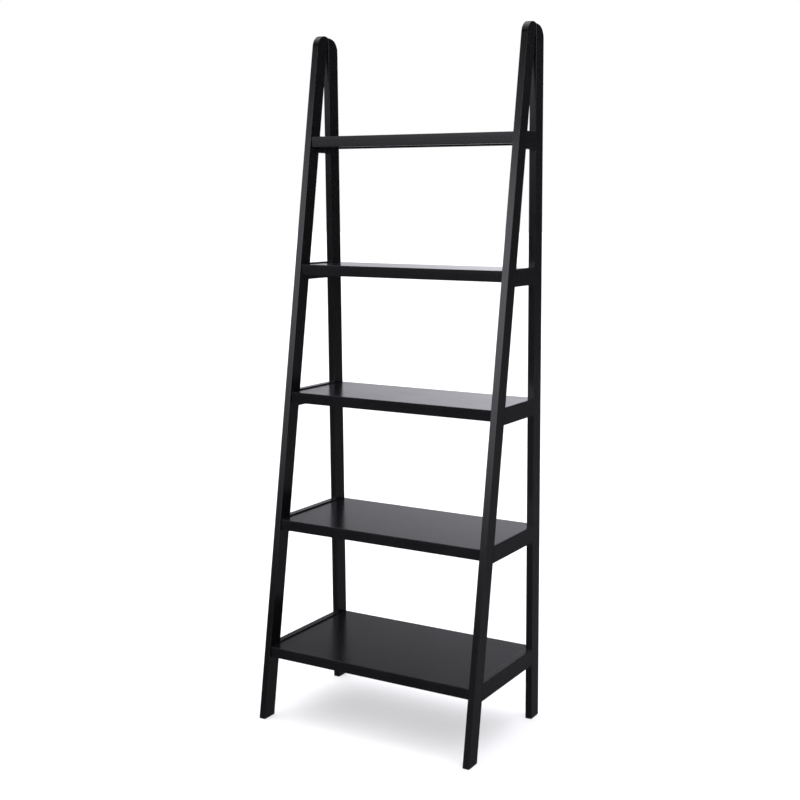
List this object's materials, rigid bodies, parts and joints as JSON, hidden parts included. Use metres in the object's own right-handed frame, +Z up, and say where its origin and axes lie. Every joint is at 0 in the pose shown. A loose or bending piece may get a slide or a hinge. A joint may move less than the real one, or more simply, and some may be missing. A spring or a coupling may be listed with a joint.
{
  "type": "ladder shelf",
  "caption": "Free-standing A-frame ladder shelf: leaning front legs, upright rear legs and open shelves that get deeper towards the floor.",
  "frame": {"origin": "on the floor, in the middle of the footprint", "axes": "+X to the object's right seen from the front, +Y to the back, +Z up"},
  "size_m": [0.6366, 0.4131, 1.829],
  "materials": {
    "leg_lacquer": "satin near-black lacquer on solid wood",
    "rail_lacquer": "satin near-black lacquer on solid wood",
    "shelf_lacquer": "semi-gloss near-black lacquer on a smooth panel",
    "apron_lacquer": "satin near-black lacquer on solid wood",
    "cleat_lacquer": "thin matt near-black lacquer, hidden under the shelf",
    "screw_steel": "black-oxide steel"
  },
  "bodies": {
    "root": {"front_leg_left": "leg_lacquer", "rear_leg_left": "leg_lacquer", "side_rail_left_1": "rail_lacquer", "side_rail_left_2": "rail_lacquer", "side_rail_left_3": "rail_lacquer", "side_rail_left_4": "rail_lacquer", "side_rail_left_5": "rail_lacquer", "front_leg_right": "leg_lacquer", "rear_leg_right": "leg_lacquer", "side_rail_right_1": "rail_lacquer", "side_rail_right_2": "rail_lacquer", "side_rail_right_3": "rail_lacquer", "side_rail_right_4": "rail_lacquer", "side_rail_right_5": "rail_lacquer", "shelf_panel_1": "shelf_lacquer", "front_apron_1": "apron_lacquer", "back_apron_1": "apron_lacquer", "end_cleat_left_1": "cleat_lacquer", "shelf_screw_left_front_1": "screw_steel", "shelf_screw_left_back_1": "screw_steel", "end_cleat_right_1": "cleat_lacquer", "shelf_screw_right_front_1": "screw_steel", "shelf_screw_right_back_1": "screw_steel", "shelf_panel_2": "shelf_lacquer", "front_apron_2": "apron_lacquer", "back_apron_2": "apron_lacquer", "end_cleat_left_2": "cleat_lacquer", "shelf_screw_left_front_2": "screw_steel", "shelf_screw_left_back_2": "screw_steel", "end_cleat_right_2": "cleat_lacquer", "shelf_screw_right_front_2": "screw_steel", "shelf_screw_right_back_2": "screw_steel", "shelf_panel_3": "shelf_lacquer", "front_apron_3": "apron_lacquer", "back_apron_3": "apron_lacquer", "end_cleat_left_3": "cleat_lacquer", "shelf_screw_left_front_3": "screw_steel", "shelf_screw_left_back_3": "screw_steel", "end_cleat_right_3": "cleat_lacquer", "shelf_screw_right_front_3": "screw_steel", "shelf_screw_right_back_3": "screw_steel", "shelf_panel_4": "shelf_lacquer", "front_apron_4": "apron_lacquer", "back_apron_4": "apron_lacquer", "end_cleat_left_4": "cleat_lacquer", "shelf_screw_left_front_4": "screw_steel", "shelf_screw_left_back_4": "screw_steel", "end_cleat_right_4": "cleat_lacquer", "shelf_screw_right_front_4": "screw_steel", "shelf_screw_right_back_4": "screw_steel", "shelf_panel_5": "shelf_lacquer", "front_apron_5": "apron_lacquer", "back_apron_5": "apron_lacquer", "end_cleat_left_5": "cleat_lacquer", "shelf_screw_left_front_5": "screw_steel", "shelf_screw_left_back_5": "screw_steel", "end_cleat_right_5": "cleat_lacquer", "shelf_screw_right_front_5": "screw_steel", "shelf_screw_right_back_5": "screw_steel"}
  },
  "joints": []
}
